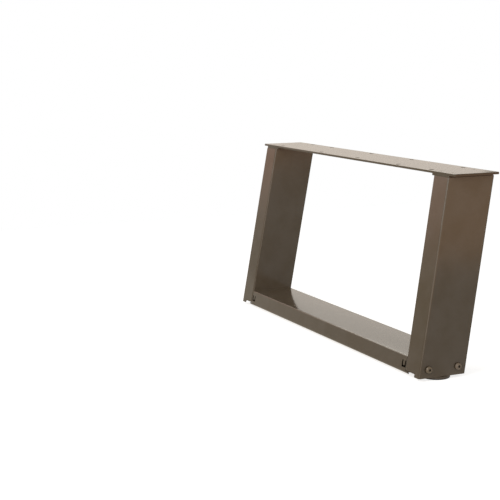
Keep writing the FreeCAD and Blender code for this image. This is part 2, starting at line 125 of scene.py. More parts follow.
def object_pattern(tree, feature, detail=2.0, stretch=(1.0, 1.0, 1.0)):
    """Noise on Object coordinates whose blotches are about one feature, in metres, across."""
    place = add_node(tree, "ShaderNodeTexCoord")
    turned = add_node(tree, "ShaderNodeMapping", {"Scale": stretch}, {"Vector": place.outputs["Object"]})
    noise = add_node(
        tree,
        "ShaderNodeTexNoise",
        {"Scale": 1.0 / feature, "Detail": detail},
        {"Vector": turned.outputs["Vector"]},
    )
    return noise.outputs["Fac"]


def shade_between(tree, pattern, dark, light):
    """Colours a pattern from a dark to a light tone, over the middle of its range."""
    ramp = add_node(tree, "ShaderNodeValToRGB", links={"Fac": pattern})
    for stop, position, tone in zip(ramp.color_ramp.elements, (0.35, 0.65), (dark, light)):
        stop.position = position
        stop.color = linear(tone)
    return ramp.outputs["Color"]


def vary_roughness(tree, shader, pattern, low, high):
    """Lets a pattern vary a shader's roughness between two values."""
    spread = add_node(
        tree,
        "ShaderNodeMapRange",
        {"From Min": 0.3, "From Max": 0.7, "To Min": low, "To Max": high},
        {"Value": pattern},
    )
    tree.links.new(spread.outputs["Result"], shader.inputs["Roughness"])


def share_within(tree, limits):
    """A smooth share from 0 to 1. Each limit is a value, where it starts to count and where it is full."""
    share = None
    for value, start, full in limits:
        step = add_node(tree, "ShaderNodeMapRange", {
            "From Min": start, "From Max": full, "To Min": 0.0, "To Max": 1.0,
            "interpolation_type": "SMOOTHSTEP",
        }, {"Value": value}).outputs["Result"]
        if share is not None:
            step = add_node(tree, "ShaderNodeMath", {"operation": "MULTIPLY"}, {0: share, 1: step}).outputs[0]
        share = step
    return share


def facing(tree, axis, low=0.7, high=0.9):
    """How far a face looks along an axis, either way: 0 up to the low share and 1 from the high one."""
    shape = add_node(tree, "ShaderNodeNewGeometry")
    parts = add_node(tree, "ShaderNodeSeparateXYZ", links={0: shape.outputs["True Normal"]})
    size = add_node(tree, "ShaderNodeMath", {"operation": "ABSOLUTE"}, {0: parts.outputs[axis]})
    share = add_node(tree, "ShaderNodeMapRange", {"From Min": low, "From Max": high},
                     {"Value": size.outputs[0]})
    return share.outputs["Result"]


def hole_walls(tree, place, half_length, half_depth):
    """Picks the walls of holes in a level plate: the upright faces that lie inside its outline."""
    shares = []
    for axis, half in (("X", half_length), ("Y", half_depth)):
        size = add_node(tree, "ShaderNodeMath", {"operation": "ABSOLUTE"}, {0: place[axis]})
        share = add_node(tree, "ShaderNodeMath", {"operation": "DIVIDE", 1: half}, {0: size.outputs[0]})
        shares.append(share.outputs[0])
    outermost = add_node(tree, "ShaderNodeMath", {"operation": "MAXIMUM"}, {0: shares[0], 1: shares[1]})
    # the plate's own sides lie at 1, and its holes farther in
    inside = add_node(tree, "ShaderNodeMath", {"operation": "LESS_THAN", 1: 0.97}, {0: outermost.outputs[0]})
    upright = add_node(tree, "ShaderNodeMath", {"operation": "SUBTRACT", 0: 1.0},
                       {1: facing(tree, "Z", 0.3, 0.6)})
    walls = add_node(tree, "ShaderNodeMath", {"operation": "MULTIPLY"},
                     {0: inside.outputs[0], 1: upright.outputs[0]})
    return walls.outputs[0]


def tone_over(material, share, tone):
    """Lays another tone over a material's colour, by a share from 0 to 1."""
    tree = material.node_tree
    shader = next(node for node in tree.nodes if node.type == "BSDF_PRINCIPLED")
    coated = shader.inputs["Base Color"].links[0].from_socket
    mixed = add_node(tree, "ShaderNodeMix", {"data_type": "RGBA"}, {"Factor": share, 6: coated})
    mixed.inputs[7].default_value = linear(tone)
    tree.links.new(mixed.outputs[2], shader.inputs["Base Color"])


def coat_material(name, settings, dark, light, crown=None):
    """Satin polyester powder coat, sprayed and baked: an even tone, a soft gloss and a faint orange peel.

    crown gives the middle in Y, the half width and the rise of a sheet that bulges a little.
    """
    material, tree, shader = new_material(name)
    shader.inputs["IOR"].default_value = settings.coat_ior
    # cloudy thickness of the sprayed coat, about 45 mm a blotch
    cloud = object_pattern(tree, 45 * MM, 3.0)
    tree.links.new(shade_between(tree, cloud, dark, light), shader.inputs["Base Color"])
    # the real peel is near 1 mm and too fine to show, so it is drawn 3 mm wide
    peel = object_pattern(tree, settings.peel_width, 1.0)
    spread = 0.03
    vary_roughness(tree, shader, peel, settings.coat_roughness - spread, settings.coat_roughness + spread)
    # folded sheet is never quite flat: long waves of about 160 mm bend what it reflects
    waves = object_pattern(tree, 160 * MM, 0.0)
    bent = add_node(tree, "ShaderNodeBump", {"Strength": 1.0, "Distance": settings.sheet_wave},
                    {"Height": waves})
    if crown:
        middle, half, rise = crown
        off = add_node(tree, "ShaderNodeMath", {"operation": "MULTIPLY_ADD", 1: 1 / half, 2: -middle / half},
                       {0: object_place(tree)["Y"]})
        square = add_node(tree, "ShaderNodeMath", {"operation": "MULTIPLY"},
                          {0: off.outputs[0], 1: off.outputs[0]})
        dome = add_node(tree, "ShaderNodeMath", {"operation": "MULTIPLY", 1: -1.0}, {0: square.outputs[0]})
        bent = add_node(tree, "ShaderNodeBump", {"Strength": 1.0, "Distance": rise},
                        {"Height": dome.outputs[0], "Normal": bent.outputs["Normal"]})
    rough = add_node(tree, "ShaderNodeBump", {"Strength": 1.0, "Distance": settings.peel_height},
                     {"Height": peel, "Normal": bent.outputs["Normal"]})
    tree.links.new(rough.outputs["Normal"], shader.inputs["Normal"])
    return material


def zinc_material(name, settings):
    """Bright zinc plated steel, cold formed: a pale metal with faint drawn lines and cloudy passivation."""
    material, tree, shader = new_material(name)
    shader.inputs["Metallic"].default_value = 1.0
    cloud = object_pattern(tree, 6 * MM)
    tones = shade_between(tree, cloud, settings.zinc_dark, settings.zinc_light)
    tree.links.new(tones, shader.inputs["Base Color"])
    # forming lines lie level, about 0.4 mm apart
    lines = object_pattern(tree, 2 * MM, stretch=(1.0, 1.0, 5.0))
    vary_roughness(tree, shader, lines, 0.26, 0.42)
    ridges = add_node(tree, "ShaderNodeBump", {"Strength": 0.5, "Distance": 0.02 * MM}, {"Height": lines})
    tree.links.new(ridges.outputs["Normal"], shader.inputs["Normal"])
    return material


def pad_material(name, settings):
    """Moulded polyamide: a brown plastic with a fine spark-eroded grain, drawn nearly black along its lowest
    band as painted shade by the floor.
    """
    material, tree, shader = new_material(name)
    # polyamide's usual index
    shader.inputs["IOR"].default_value = 1.53
    cloud = object_pattern(tree, 12 * MM)
    tones = shade_between(tree, cloud, settings.pad_dark, settings.pad_light)
    tree.links.new(tones, shader.inputs["Base Color"])
    # painted shade: the pad's lowest band, by the floor, is drawn nearly black
    sole = add_node(tree, "ShaderNodeMath", {"operation": "LESS_THAN", 1: FLOOR_LEVEL + settings.foot_shade_height},
                    {0: object_place(tree)["Z"]})
    tone_over(material, sole.outputs[0], settings.foot_shade_tone)
    # the mould's grain is near 0.3 mm and is drawn 1.2 mm wide so that it shows
    grain = object_pattern(tree, 1.2 * MM, 1.0)
    vary_roughness(tree, shader, grain, 0.42, 0.58)
    bumps = add_node(tree, "ShaderNodeBump", {"Strength": 0.6, "Distance": 0.03 * MM}, {"Height": grain})
    tree.links.new(bumps.outputs["Normal"], shader.inputs["Normal"])
    return material


def finish_nodes(names, material):
    """Puts one material in every slot of the named CAD nodes."""
    for name in names:
        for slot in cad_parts[name].material_slots:
            slot.material = material


def stack_rings(mesh, profile, sides, first_turn=0.0):
    """Adds a closed upright solid to a bmesh from pairs of radius and height, with flat ends."""
    rings = []
    for radius, level in profile:
        turns = [math.tau * step / sides + first_turn for step in range(sides)]
        corners = [(radius * math.cos(turn), radius * math.sin(turn), level) for turn in turns]
        rings.append([mesh.verts.new(corner) for corner in corners])
    for lower, upper in zip(rings, rings[1:]):
        for step in range(sides):
            following = (step + 1) % sides
            mesh.faces.new((lower[step], lower[following], upper[following], upper[step]))
    mesh.faces.new(list(reversed(rings[0])))
    mesh.faces.new(rings[-1])


def thread_tree():
    """Geometry Nodes that wind a thread ridge round the blank stud they are given."""
    tree = bpy.data.node_groups.new("Wound thread", "GeometryNodeTree")
    face = tree.interface
    face.new_socket("Geometry", in_out="INPUT", socket_type="NodeSocketGeometry")
    for name in ("Crest radius", "Root radius", "Pitch", "Turns", "Start height"):
        face.new_socket(name, in_out="INPUT", socket_type="NodeSocketFloat")
    face.new_socket("Material", in_out="INPUT", socket_type="NodeSocketMaterial")
    face.new_socket("Geometry", in_out="OUTPUT", socket_type="NodeSocketGeometry")
    given = add_node(tree, "NodeGroupInput").outputs
    rise = add_node(tree, "ShaderNodeMath", {"operation": "MULTIPLY"},
                    {0: given["Pitch"], 1: given["Turns"]}).outputs[0]
    path = add_node(tree, "GeometryNodeCurveSpiral", {"Resolution": 40, "Reverse": False}, {
        "Rotations": given["Turns"],
        "Start Radius": given["Root radius"],
        "End Radius": given["Root radius"],
        "Height": rise,
    })
    # the ridge is a hexagonal rod, half sunk in the root, so that its crest is narrow and its foot wide
    depth = add_node(tree, "ShaderNodeMath", {"operation": "SUBTRACT"},
                     {0: given["Crest radius"], 1: given["Root radius"]}).outputs[0]
    ridge = add_node(tree, "GeometryNodeCurvePrimitiveCircle", {"Resolution": 6}, {"Radius": depth})
    wound = add_node(tree, "GeometryNodeCurveToMesh", {"Fill Caps": True},
                     {"Curve": path.outputs["Curve"], "Profile Curve": ridge.outputs["Curve"]})
    lift = add_node(tree, "ShaderNodeCombineXYZ", links={"Z": given["Start height"]})
    raised = add_node(tree, "GeometryNodeTransform",
                      links={"Geometry": wound.outputs["Mesh"], "Translation": lift.outputs["Vector"]})
    joined = add_node(tree, "GeometryNodeJoinGeometry")
    tree.links.new(given["Geometry"], joined.inputs["Geometry"])
    tree.links.new(raised.outputs["Geometry"], joined.inputs["Geometry"])
    real = add_node(tree, "GeometryNodeRealizeInstances", links={"Geometry": joined.outputs["Geometry"]})
    painted = add_node(tree, "GeometryNodeSetMaterial",
                       links={"Geometry": real.outputs["Geometry"], "Material": given["Material"]})
    add_node(tree, "NodeGroupOutput", links={"Geometry": painted.outputs["Geometry"]})
    return tree


def run_tree(name, mesh, tree, values):
    """Evaluates a Geometry Nodes tree on a mesh and returns a plain mesh object."""
    host = bpy.data.objects.new(name, mesh)
    bpy.context.collection.objects.link(host)
    modifier = host.modifiers.new("Thread", "NODES")
    modifier.node_group = tree
    sockets = {item.name: item.identifier for item in tree.interface.items_tree if item.in_out == "INPUT"}
    for label, value in values.items():
        modifier[sockets[label]] = value
    bpy.context.view_layer.update()
    result = bpy.data.meshes.new_from_object(host.evaluated_get(bpy.context.evaluated_depsgraph_get()))
    host.modifiers.remove(modifier)
    host.data = result
    return host


class CoatSettings(bpy.types.PropertyGroup):
    """Colours and texture of the coats, the zinc and the foot pads. Tones are sRGB hex values."""

    coat_dark: StringProperty(name="Coat dark", description="Tone of the thicker coat", default="5D5142")
    coat_light: StringProperty(name="Coat light", description="Tone of the thinner coat", default="62574A")
    # painted shade: this tone darkens the walls of the bar's slits and end cuts and of the plate's drilled
    # holes
    cut_wall_shade: StringProperty(name="Cut edge", description="Tone of the coat on cut walls", default="2E261E")
    # painted highlight: a pale tone on the weld marks' walls, for the light their rounded rims catch
    mark_rim_highlight: StringProperty(name="Mark rim", description="Tone of the weld marks' rims", default="DCD2C4")
    marks_start: FloatProperty(
        name="Marks start", description="Weld marks lie farther out along X", default=345 * MM,
        subtype="DISTANCE")
    # painted shade: the darker tone of the plate's end faces
    plate_end_shade: StringProperty(name="Sheared end", description="Tone of the plate's ends", default="453B30")
    # painted shade: the dark tone of the flanges' ends under the plate
    recess_shade: StringProperty(name="Recess", description="Tone of the coat in recesses", default="251F18")
    screw_dark: StringProperty(name="Screw dark", description="Tone of the coated screws", default="786A57")
    screw_light: StringProperty(name="Screw light", description="Tone of worn screw rims", default="827363")
    # painted shade: the dark tone inside the screw sockets
    socket_shade: StringProperty(name="Socket", description="Tone inside the screw sockets", default="4A4034")
    socket_reach: FloatProperty(
        name="Socket reach", description="Radius round a screw's socket", default=3.1 * MM,
        subtype="DISTANCE")
    socket_lip: FloatProperty(
        name="Socket lip", description="Depth under a screw's face where its socket darkens",
        default=0.35 * MM, subtype="DISTANCE")
    # painted shade: the washers' near-black tones stand in for the shade beside the screw heads
    washer_dark: StringProperty(name="Washer dark", description="Tone of the oiled washers", default="2A231C")
    washer_light: StringProperty(name="Washer light", description="Tone of rubbed washers", default="352C23")
    zinc_dark: StringProperty(name="Zinc dark", description="Tone of clouded zinc", default="A9AAA6")
    zinc_light: StringProperty(name="Zinc light", description="Tone of bright zinc", default="C6C6BE")
    pad_dark: StringProperty(name="Pad dark", description="Tone of the moulded pads", default="4F4437")
    pad_light: StringProperty(name="Pad light", description="Tone of rubbed pads", default="574B3E")
    # painted shade: the near-black tone of the pads' lowest band
    foot_shade_tone: StringProperty(name="Sole", description="Tone of the pads' rubber soles", default="17130F")
    # height of the pads' painted shade band
    foot_shade_height: FloatProperty(
        name="Sole height", description="Height of the rubber sole", default=2.2 * MM, subtype="DISTANCE")
    coat_ior: FloatProperty(
        name="Coat IOR", description="Index of the polyester coat", default=1.5, min=1.3, max=1.8)
    coat_roughness: FloatProperty(
        name="Coat roughness", description="Satin gloss", default=0.14, min=0.0, max=1.0)
    peel_width: FloatProperty(
        name="Peel width", description="Width of one orange peel dimple", default=3 * MM, subtype="DISTANCE")
    peel_height: FloatProperty(
        name="Peel height", description="Height of the orange peel", default=0.006 * MM, subtype="DISTANCE")
    sheet_wave: FloatProperty(
        name="Sheet wave", description="Height of the sheet's long waves", default=0.35 * MM,
        subtype="DISTANCE")
    crown_rise: FloatProperty(
        name="Crown rise", description="Rise of the bar's top over its edges", default=1.8 * MM,
        subtype="DISTANCE")
    crown_shift: FloatProperty(
        name="Crown shift", description="Crown's middle off the bar's middle", default=6.0 * MM,
        subtype="DISTANCE")


class StudSettings(bpy.types.PropertyGroup):
    """Sizes of the threaded stud of a levelling foot."""

    crest_radius: FloatProperty(
        name="Crest radius", description="Outside of the M10 thread", default=4.98 * MM, subtype="DISTANCE")
    root_radius: FloatProperty(
        name="Root radius", description="Bottom of the M10 thread", default=4.2 * MM, subtype="DISTANCE")
    pitch: FloatProperty(name="Pitch", description="Thread pitch", default=1.5 * MM, subtype="DISTANCE")
    collar_flats: FloatProperty(
        name="Collar flats", description="Width of the hexagon collar", default=13 * MM, subtype="DISTANCE")
    collar_height: FloatProperty(
        name="Collar height", description="Height of the hexagon collar", default=4 * MM, subtype="DISTANCE")
    collar_gap: FloatProperty(
        name="Collar gap", description="Gap between the pad and the collar", default=0.1 * MM,
        subtype="DISTANCE")
    bevel: FloatProperty(
        name="Bevel", description="Bevel of the collar's rims and the tip", default=0.5 * MM,
        subtype="DISTANCE")


class StudioSettings(bpy.types.PropertyGroup):
    """Camera, lamps and floor of the studio. Tones are sRGB hex values."""

    lens: FloatProperty(name="Lens", description="Focal length in mm on a 36 mm sensor", default=88.128)
    camera_place: FloatVectorProperty(
        name="Camera place", description="Camera position", default=(2.35175, -1.36207, 0.23827), size=3,
        subtype="TRANSLATION")
    camera_yaw: FloatProperty(
        name="Camera yaw", description="Turn from looking along +Y", default=math.radians(65.390),
        subtype="ANGLE")
    camera_pitch: FloatProperty(
        name="Camera pitch", description="Look down by", default=math.radians(9.405), subtype="ANGLE")
    camera_roll: FloatProperty(
        name="Camera roll", description="Tilt of the picture", default=math.radians(0.253), subtype="ANGLE")
    key_power: FloatProperty(
        name="Key power", description="Power of the large front lamp", default=38.0, unit="POWER")
    top_power: FloatProperty(
        name="Top power", description="Power of the overhead lamp", default=2.0, unit="POWER")
    wall_level: FloatProperty(
        name="Wall level", description="Light from the walls on dull surfaces", default=0.60)
    ceiling_level: FloatProperty(name="Ceiling level", description="Light from straight above", default=0.10)
    window_level: FloatProperty(name="Window level", description="Light added towards +X", default=0.35)
    board_dark: StringProperty(name="Board dark", description="Tone of the board's grain", default="E4E2DF")
    board_light: StringProperty(name="Board light", description="Tone of the board", default="EAE8E5")
    board_glow: FloatProperty(
        name="Board glow", description="Light that brings the board to white for the camera", default=0.74)
    under_level: FloatProperty(
        name="Under light", description="Light in the board under the bar, for its underside", default=0.5)
    floor_half: FloatProperty(
        name="Floor half size", description="Half the side of the square floor", default=1.9,
        subtype="DISTANCE")


class TABLELEG_OT_coat_frame(bpy.types.Operator):
    """Coat the folded steel pieces with grey-brown powder."""

    bl_idname = "tableleg.coat_frame"
    bl_label = "Coat the frame"

    def execute(self, context):
        settings = context.scene.tableleg_coat
        tones = (settings.coat_dark, settings.coat_light)
        finish_nodes(LEG_NODES, coat_material("Satin powder coat on folded legs", settings, *tones))
        finish_nodes(["top_plate"], self.plate_material(settings, tones))
        # painted shade darkens the slits and end cuts of the bar, which look along X; its top bulges by a
        # millimetre or two
        low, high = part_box("bottom_bar")
        middle = (low.y + high.y) / 2 + settings.crown_shift
        bar = coat_material("Powder coat on folded bar", settings, *tones,
                            crown=(middle, (high.y - low.y) / 2, settings.crown_rise))
        tone_over(bar, facing(bar.node_tree, "X"), settings.cut_wall_shade)
        finish_nodes(["bottom_bar"], bar)
        # painted shade: the flanges' ends lie back under the plate, in its shade, and are drawn darker
        recessed = coat_material("Powder coat with painted shade on recessed plates", settings, *tones)
        tone_over(recessed, facing(recessed.node_tree, "X"), settings.recess_shade)
        finish_nodes(RECESSED_NODES, recessed)
        return {"FINISHED"}

    def plate_material(self, settings, tones):
        """The same coat, with painted shade on the drilled holes' walls and the plate's ends, and a painted
        highlight on the shallow weld marks' walls.
        """
        material = coat_material("Powder coat on drilled plate", settings, *tones)
        tree = material.node_tree
        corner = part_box("top_plate")[1]
        place = object_place(tree)
        walls = hole_walls(tree, place, corner.x, corner.y)
        # painted shade darkens a hole's wall from 0.5 mm below its rim, and the weld marks are shallower than
        # that
        deep = add_node(tree, "ShaderNodeMath", {"operation": "LESS_THAN", 1: corner.z - 0.5 * MM},
                        {0: place["Z"]})
        outwards = add_node(tree, "ShaderNodeMath", {"operation": "ABSOLUTE"}, {0: place["X"]})
        over_leg = add_node(tree, "ShaderNodeMath", {"operation": "GREATER_THAN", 1: settings.marks_start},
                            {0: outwards.outputs[0]})
        # painted shade: the plate's end faces, which look along X, are drawn darker
        tone_over(material, facing(tree, "X"), settings.plate_end_shade)
        # painted shade on the deep hole walls, and a painted highlight on the walls of the weld marks over
        # the legs
        for where, tone in ((deep, settings.cut_wall_shade), (over_leg, settings.mark_rim_highlight)):
            share = add_node(tree, "ShaderNodeMath", {"operation": "MULTIPLY"},
                             {0: walls, 1: where.outputs[0]})
            tone_over(material, share.outputs[0], tone)
        return material


class TABLELEG_OT_finish_fasteners(bpy.types.Operator):
    """Finish the screws, washers, sleeves and nuts."""

    bl_idname = "tableleg.finish_fasteners"
    bl_label = "Finish the fasteners"

    def execute(self, context):
        settings = context.scene.tableleg_coat
        # painted shade: the washers are drawn nearly black, as dark as the shaded crescent beside each head,
        # with the coat's gloss
        washers = coat_material("Nearly black washers with painted shade", settings, settings.washer_dark, settings.washer_light)
        finish_nodes(["screw_washers"], washers)
        finish_nodes(["button_screws"], self.screw_material(settings))
        finish_nodes(ZINC_NODES, zinc_material("Bright zinc plated steel", settings))
        return {"FINISHED"}

    def screw_material(self, settings):
        """The same baked coat, with painted shade inside the hexagon sockets."""
        # the heads' outermost rims give the screws' level and how far apart the two rows are
        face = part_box("button_screws")[1].x
        rim = face - 0.3 * MM
        tops = [v.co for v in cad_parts["button_screws"].data.vertices if v.co.x > rim]
        level = sum(co.z for co in tops) / len(tops)
        middle = sum(co.y for co in tops) / len(tops)
        back_row = [co.y for co in tops if co.y > middle]
        apart = sum(back_row) / len(back_row) - middle
        material = coat_material("Baked coat on button screws", settings, settings.screw_dark,
                                 settings.screw_light)
        tree = material.node_tree
        place = object_place(tree)
        # distance from the nearer of the two screw axes of a leg
        off_middle = add_node(tree, "ShaderNodeMath", {"operation": "SUBTRACT", 1: middle}, {0: place["Y"]})
        aside = add_node(tree, "ShaderNodeMath", {"operation": "ABSOLUTE"}, {0: off_middle.outputs[0]})
        across = add_node(tree, "ShaderNodeMath", {"operation": "SUBTRACT", 1: apart}, {0: aside.outputs[0]})
        up = add_node(tree, "ShaderNodeMath", {"operation": "SUBTRACT", 1: level}, {0: place["Z"]})
        offset = add_node(tree, "ShaderNodeCombineXYZ", links={"X": across.outputs[0], "Y": up.outputs[0]})
        reach = add_node(tree, "ShaderNodeVectorMath", {"operation": "LENGTH"}, {0: offset.outputs[0]})
        near_axis = add_node(tree, "ShaderNodeMath", {"operation": "LESS_THAN", 1: settings.socket_reach},
                             {0: reach.outputs["Value"]})
        outwards = add_node(tree, "ShaderNodeMath", {"operation": "ABSOLUTE"}, {0: place["X"]})
        sunk = add_node(tree, "ShaderNodeMath", {"operation": "LESS_THAN", 1: face - settings.socket_lip},
                        {0: outwards.outputs[0]})
        inside = add_node(tree, "ShaderNodeMath", {"operation": "MULTIPLY"},
                          {0: near_axis.outputs[0], 1: sunk.outputs[0]})
        # painted shade inside the sockets
        tone_over(material, inside.outputs[0], settings.socket_shade)
        return material


class TABLELEG_OT_mould_pads(bpy.types.Operator):
    """Give the foot pads their moulded plastic."""

    bl_idname = "tableleg.mould_pads"
    bl_label = "Mould the foot pads"

    def execute(self, context):
        plastic = pad_material("Brown moulded polyamide", context.scene.tableleg_coat)
        finish_nodes([f"{side}_foot_pad" for side in FEET.values()], plastic)
        return {"FINISHED"}


class TABLELEG_OT_thread_studs(bpy.types.Operator):
    """Wind the threads of the two levelling studs."""

    bl_idname = "tableleg.thread_studs"
    bl_label = "Thread the studs"

    def execute(self, context):
        settings = context.scene.tableleg_stud
        zinc = zinc_material("Zinc plated stud, rolled thread", context.scene.tableleg_coat)
        tree = thread_tree()
        for body, side in FEET.items():
            low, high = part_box(f"{side}_foot_stem")
            middle = (low + high) / 2
            tip = high.z - low.z
            collar_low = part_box(f"{side}_foot_pad")[1].z - low.z + settings.collar_gap
            collar_high = collar_low + settings.collar_height
            # the thread stops about a pitch short of the collar and of the tip
            room = tip - collar_high - 2 * settings.pitch
            stud = run_tree(f"{side}_threaded_stud", self.blank(settings, side, tip, collar_low), tree, {
                "Crest radius": settings.crest_radius,
                "Root radius": settings.root_radius,
                "Pitch": settings.pitch,
                "Turns": room / settings.pitch,
                "Start height": collar_high + 0.75 * settings.pitch,
                "Material": zinc,
            })
            stud.data.transform(Matrix.Translation((middle.x, middle.y, low.z)))
            for polygon in stud.data.polygons:
                polygon.use_smooth = False
            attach(stud, body)
            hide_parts(f"{side}_foot_stem")
        return {"FINISHED"}

    def blank(self, settings, side, tip, collar_low):
        """The stud before its thread: a bar as thick as the thread's root, and a hexagon collar."""
        root, bevel = settings.root_radius, settings.bevel
        corner = settings.collar_flats / math.sqrt(3)
        collar_high = collar_low + settings.collar_height
        solid = bmesh.new()
        stack_rings(solid, [(root, 0.0), (root, tip - bevel), (root - bevel, tip)], 48)
        stack_rings(solid, [
            (corner - bevel, collar_low),
            (corner, collar_low + bevel),
            (corner, collar_high - bevel),
            (corner - bevel, collar_high),
        ], 6, math.radians(30))
        mesh = bpy.data.meshes.new(f"{side}_stud_blank")
        solid.to_mesh(mesh)
        solid.free()
        return mesh


class TABLELEG_OT_set_studio(bpy.types.Operator):
    """Set the floor, lamps, world and camera."""

    bl_idname = "tableleg.set_studio"
    bl_label = "Set the studio"

    def execute(self, context):
        settings = context.scene.tableleg_studio
        self.lay_floor(settings)
        self.light_world(context.scene, settings)
        self.hang_lamps(settings)
        self.place_camera(context.scene, settings)
        context.scene.view_settings.view_transform = "Standard"
        return {"FINISHED"}

    def lay_floor(self, settings):
        """A square board just under the feet."""
        half = settings.floor_half
        level = FLOOR_LEVEL - 0.2 * MM
        corners = [(-half, -half, level), (half, -half, level), (half, half, level), (-half, half, level)]
        mesh = bpy.data.meshes.new("studio_floor")
        mesh.from_pydata(corners, [], [(0, 1, 2, 3)])
        mesh.materials.append(self.board_material(settings))
        floor = bpy.data.objects.new("studio_floor", mesh)
        bpy.context.collection.objects.link(floor)

    def board_material(self, settings):
        """Matt white board: white to the camera with a soft shadow, and dimmer in what the gloss mirrors."""
        material = bpy.data.materials.new("Matt white studio board")
        material.use_nodes = True
        tree = material.node_tree
        tree.nodes.clear()
        low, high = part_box("bottom_bar")
        rays = add_node(tree, "ShaderNodeLightPath")
        place = object_place(tree)
        outwards = add_node(tree, "ShaderNodeMath", {"operation": "ABSOLUTE"}, {0: place["X"]})
        x, y = outwards.outputs[0], place["Y"]
        grain = object_pattern(tree, 9 * MM)
        tones = shade_between(tree, grain, settings.board_dark, settings.board_light)
        board = add_node(tree, "ShaderNodeBsdfDiffuse", links={"Color": tones})
        glow = add_node(tree, "ShaderNodeEmission", {"Color": WHITE, "Strength": settings.board_glow})
        seen = add_node(tree, "ShaderNodeAddShader", links={0: board.outputs[0], 1: glow.outputs[0]})
        # what the fronts mirror of the board dims towards -Y and towards the near leg, by so much a metre
        middle_level, per_metre_x, per_metre_y = 0.55, -0.38, 0.56
        lowest, highest, before_bar_level = 0.2, 0.66, 0.8
        along = add_node(tree, "ShaderNodeMath",
                         {"operation": "MULTIPLY_ADD", 1: per_metre_x, 2: middle_level}, {0: place["X"]})
        level = add_node(tree, "ShaderNodeMath", {"operation": "MULTIPLY_ADD", 1: per_metre_y},
                         {0: y, 2: along.outputs[0]})
        held = add_node(tree, "ShaderNodeClamp", {"Min": lowest, "Max": highest}, {"Value": level.outputs[0]})
        # the board right in front of the bar lines its lower bend
        before_bar = share_within(tree, [(y, low.y - 64 * MM, low.y - 4 * MM),
                                         (x, high.x + 1 * MM, high.x - 29 * MM)])
        raised = add_node(tree, "ShaderNodeMath", {"operation": "MULTIPLY_ADD", 1: before_bar_level},
                          {0: before_bar, 2: held.outputs[0]})
        dim = add_node(tree, "ShaderNodeEmission", {"Color": (1.0, 0.93, 0.80, 1.0)},
                       {"Strength": raised.outputs[0]})
        # a soft light in the board right under the bar, seen by no camera, keeps the bar's underside readable
        under_bar = share_within(tree, [(x, CAD_BOX[1].x + 20 * MM, CAD_BOX[1].x - 10 * MM),
                                        (y, low.y - 14 * MM, low.y + 1 * MM),
                                        (y, high.y + 7 * MM, high.y - 8 * MM)])
        under_level = add_node(tree, "ShaderNodeMath", {"operation": "MULTIPLY", 1: settings.under_level},
                               {0: under_bar})
        under_light = add_node(tree, "ShaderNodeEmission", {"Color": WHITE},
                               {"Strength": under_level.outputs[0]})
        lit = add_node(tree, "ShaderNodeAddShader", links={0: board.outputs[0], 1: under_light.outputs[0]})
        mirrored_front = share_within(tree, [(y, low.y + 56 * MM, low.y + 26 * MM),
                                             (rays.outputs["Is Glossy Ray"], 0.0, 1.0)])
        unseen = add_node(tree, "ShaderNodeMixShader", links={
            "Fac": mirrored_front, 1: lit.outputs[0], 2: dim.outputs[0]})
        upper_side = add_node(tree, "ShaderNodeMixShader", links={
            "Fac": rays.outputs["Is Camera Ray"], 1: unseen.outputs[0], 2: seen.outputs[0]})
        # the board has an upper side only, so that the frame's underside can be looked at
        sides = add_node(tree, "ShaderNodeNewGeometry")
        clear = add_node(tree, "ShaderNodeBsdfTransparent")
        one_sided = add_node(tree, "ShaderNodeMixShader", links={
            "Fac": sides.outputs["Backfacing"], 1: upper_side.outputs[0], 2: clear.outputs[0]})
        add_node(tree, "ShaderNodeOutputMaterial", links={"Surface": one_sided.outputs[0]})
        return material

    def light_world(self, scene, settings):
        """White to the camera, a lit room for dull surfaces, and the mirrored room for glossy ones."""
        world = bpy.data.worlds.new("Studio room")
        scene.world = world
        world.use_nodes = True
        tree = world.node_tree
        tree.nodes.clear()
        rays = add_node(tree, "ShaderNodeLightPath")
        direction = add_node(tree, "ShaderNodeTexCoord")
        parts = add_node(tree, "ShaderNodeSeparateXYZ", links={0: direction.outputs["Generated"]}).outputs
        mirrored = add_node(tree, "ShaderNodeBackground", {"Strength": 1.0},
                            {"Color": self.mirrored_room(tree, parts["X"], parts["Y"], parts["Z"])})
        seen = add_node(tree, "ShaderNodeBackground", {"Color": WHITE, "Strength": 1.0})
        # pale walls light the upright faces more than the dim ceiling lights the level ones
        walls_to_ceiling = add_node(tree, "ShaderNodeMapRange", {
            "From Min": 0.0, "From Max": 1.0, "To Min": settings.wall_level, "To Max": settings.ceiling_level,
        }, {"Value": parts["Z"]})
        window_side = add_node(tree, "ShaderNodeMapRange", {
            "From Min": 0.0, "From Max": 1.0, "To Min": 0.0, "To Max": settings.window_level,
        }, {"Value": parts["X"]})
        level = add_node(tree, "ShaderNodeMath", {"operation": "ADD"},
                         {0: walls_to_ceiling.outputs["Result"], 1: window_side.outputs["Result"]})
        lighting = add_node(tree, "ShaderNodeBackground", {"Color": (1.0, 0.99, 0.975, 1.0)},
                            {"Strength": level.outputs[0]})
        unseen = add_node(tree, "ShaderNodeMixShader", links={
            "Fac": rays.outputs["Is Glossy Ray"], 1: lighting.outputs[0], 2: mirrored.outputs[0]})
        shown = add_node(tree, "ShaderNodeMixShader", links={
            "Fac": rays.outputs["Is Camera Ray"], 1: unseen.outputs[0], 2: seen.outputs[0]})
        add_node(tree, "ShaderNodeOutputWorld", links={"Surface": shown.outputs[0]})

    def mirrored_room(self, tree, x, y, z):
        """What the gloss shows: a pale backdrop towards -X and +Y, a dim room, and a warm band towards +X."""
        backdrop = self.lay_over(tree, (0.90, 0.80, 0.70), (1.02, 0.95, 0.86), [(z, 0.05, 0.25)])
